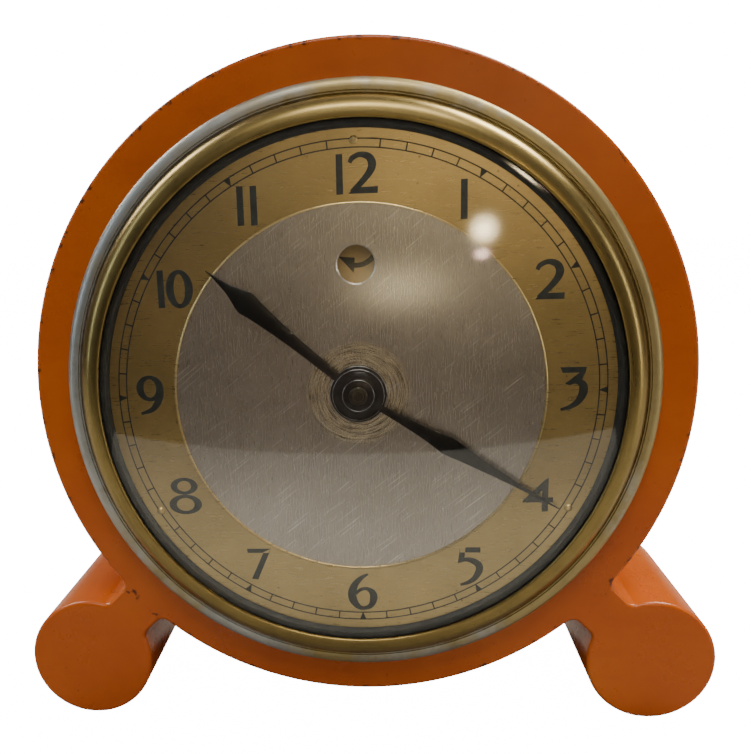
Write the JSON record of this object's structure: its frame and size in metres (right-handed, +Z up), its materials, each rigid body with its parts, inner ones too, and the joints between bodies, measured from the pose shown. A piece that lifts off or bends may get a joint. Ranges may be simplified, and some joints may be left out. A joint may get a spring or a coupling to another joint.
{
  "type": "mantel clock",
  "caption": "Round mantel clock in an amber cast phenolic case on two rolled feet, brass bezel, domed glass, silvered dial and a mains synchronous movement with running indicator.",
  "frame": {"origin": "centre of the base, on the surface the feet stand on, half way through the overall depth", "axes": "+Z up, -Y towards the person reading the dial, +X to that person's right"},
  "size_m": [0.1446, 0.064, 0.1361],
  "materials": {
    "case": "polished cast phenolic",
    "bezel": "spun, plating worn",
    "glass": "clear domed",
    "black_paint": "gloss black",
    "dial_silver": "satin",
    "dial_gilt": "satin lacquered",
    "brass": "machined",
    "steel": "machined",
    "tin_plate": "zinc plated",
    "black_plastic": "moulded phenolic",
    "laminations": "blued, varnished",
    "winding": "varnished cloth tape over copper wire",
    "lead": "cotton over rubber",
    "indicator": "cream with black arrows",
    "rotor": "die cast",
    "rubber": "matt",
    "spring_steel": "drawn wire"
  },
  "bodies": {
    "case": {"case_body": "case", "bezel_ring": "bezel", "window_glass": "glass", "sight_ring": "black_paint", "dial_plate": "dial_silver", "chapter_ring": "dial_gilt", "dial_rivets": "brass", "dial_pan": "tin_plate", "pan_screws": "steel", "dial_posts": "brass", "back_cover": "black_plastic", "case_posts": "steel", "case_screws": "brass", "cord_bush": "rubber", "setting_bush": "brass", "starter_bush": "brass", "front_plate": "brass", "back_plate": "brass", "plate_pillars": "brass", "pillar_screws": "steel", "stator_core": "laminations", "stator_posts": "brass", "stator_screws": "steel", "bridge_screws": "steel", "rotor_bridge": "brass", "coil_bobbin": "black_plastic", "coil_winding": "winding", "coil_leads": "lead", "terminal_block": "black_plastic", "terminal_screws": "brass", "terminal_rivet": "brass", "minute_wheel_stud": "steel"},
    "rotor": {"rotor_star": "rotor", "rotor_arbor": "steel", "indicator_disc": "indicator", "clutch_disc": "steel"},
    "first_mobile": {"first_wheel": "brass", "first_arbor": "steel"},
    "second_mobile": {"second_wheel": "brass", "second_arbor": "steel"},
    "third_mobile": {"third_wheel": "brass", "third_arbor": "steel"},
    "centre_mobile": {"centre_wheel": "brass"},
    "minute": {"centre_arbor": "steel", "friction_spring": "spring_steel", "cannon_pinion": "brass", "minute_hand": "black_paint", "hand_nut": "brass"},
    "minute_mobile": {"minute_wheel": "brass", "minute_pinion": "brass"},
    "hour": {"hour_wheel": "brass", "hour_pipe": "brass", "hour_hand": "black_paint"},
    "setter": {"setting_arbor": "steel", "setting_knob": "black_plastic"},
    "starter_slider": {"starter_sleeve": "brass", "starter_spring": "spring_steel"},
    "starter": {"starter_shaft": "steel", "starter_pad": "rubber", "starter_knob": "black_plastic"}
  },
  "joints": [
    {"name": "rotor_spin", "type": "hinge", "parent": "case", "child": "rotor", "pos_m": [0, 0.00605, 0.09552], "axis": [0, 1, 0], "continuous": true},
    {"name": "first_mobile_turn", "type": "hinge", "parent": "case", "child": "first_mobile", "pos_m": [-0.0129, -0.00295, 0.09272], "axis": [0, 1, 0], "continuous": true},
    {"name": "second_mobile_turn", "type": "hinge", "parent": "case", "child": "second_mobile", "pos_m": [-0.0202, -0.00595, 0.08173], "axis": [0, 1, 0], "continuous": true},
    {"name": "third_mobile_turn", "type": "hinge", "parent": "case", "child": "third_mobile", "pos_m": [-0.0155, -0.00895, 0.06939], "axis": [0, 1, 0], "continuous": true},
    {"name": "centre_wheel_turn", "type": "hinge", "parent": "case", "child": "centre_mobile", "pos_m": [0, -0.01095, 0.07112], "axis": [0, 1, 0], "continuous": true},
    {"name": "minute_hand_turn", "type": "hinge", "parent": "case", "child": "minute", "pos_m": [0, -0.01995, 0.07112], "axis": [0, 1, 0], "continuous": true},
    {"name": "minute_mobile_turn", "type": "hinge", "parent": "case", "child": "minute_mobile", "pos_m": [0.00847, -0.01595, 0.06262], "axis": [0, 1, 0], "continuous": true},
    {"name": "hour_hand_turn", "type": "hinge", "parent": "case", "child": "hour", "pos_m": [0, -0.01995, 0.07112], "axis": [0, 1, 0], "continuous": true},
    {"name": "setting_knob_turn", "type": "hinge", "parent": "case", "child": "setter", "pos_m": [0, 0.01005, 0.05412], "axis": [0, 1, 0], "continuous": true},
    {"name": "starter_push", "type": "slide", "parent": "case", "child": "starter_slider", "axis": [0, -1, 0], "range_m": [0, 0.0025], "stiffness_N_per_m": 400, "springref_m": -0.001, "deforming": ["starter_spring"]},
    {"name": "starter_twirl", "type": "hinge", "parent": "starter_slider", "child": "starter", "pos_m": [0, 0.02405, 0.09552], "axis": [0, 1, 0], "continuous": true}
  ],
  "couplings": [
    {"joint": "first_mobile_turn", "follows": "rotor_spin", "ratio": -0.1},
    {"joint": "second_mobile_turn", "follows": "rotor_spin", "ratio": 0.01},
    {"joint": "third_mobile_turn", "follows": "rotor_spin", "ratio": -0.001},
    {"joint": "centre_wheel_turn", "follows": "rotor_spin", "ratio": 0.000083333},
    {"joint": "minute_mobile_turn", "follows": "minute_hand_turn", "ratio": -0.33333},
    {"joint": "hour_hand_turn", "follows": "minute_hand_turn", "ratio": 0.083333},
    {"joint": "setting_knob_turn", "follows": "minute_hand_turn", "ratio": 1}
  ]
}
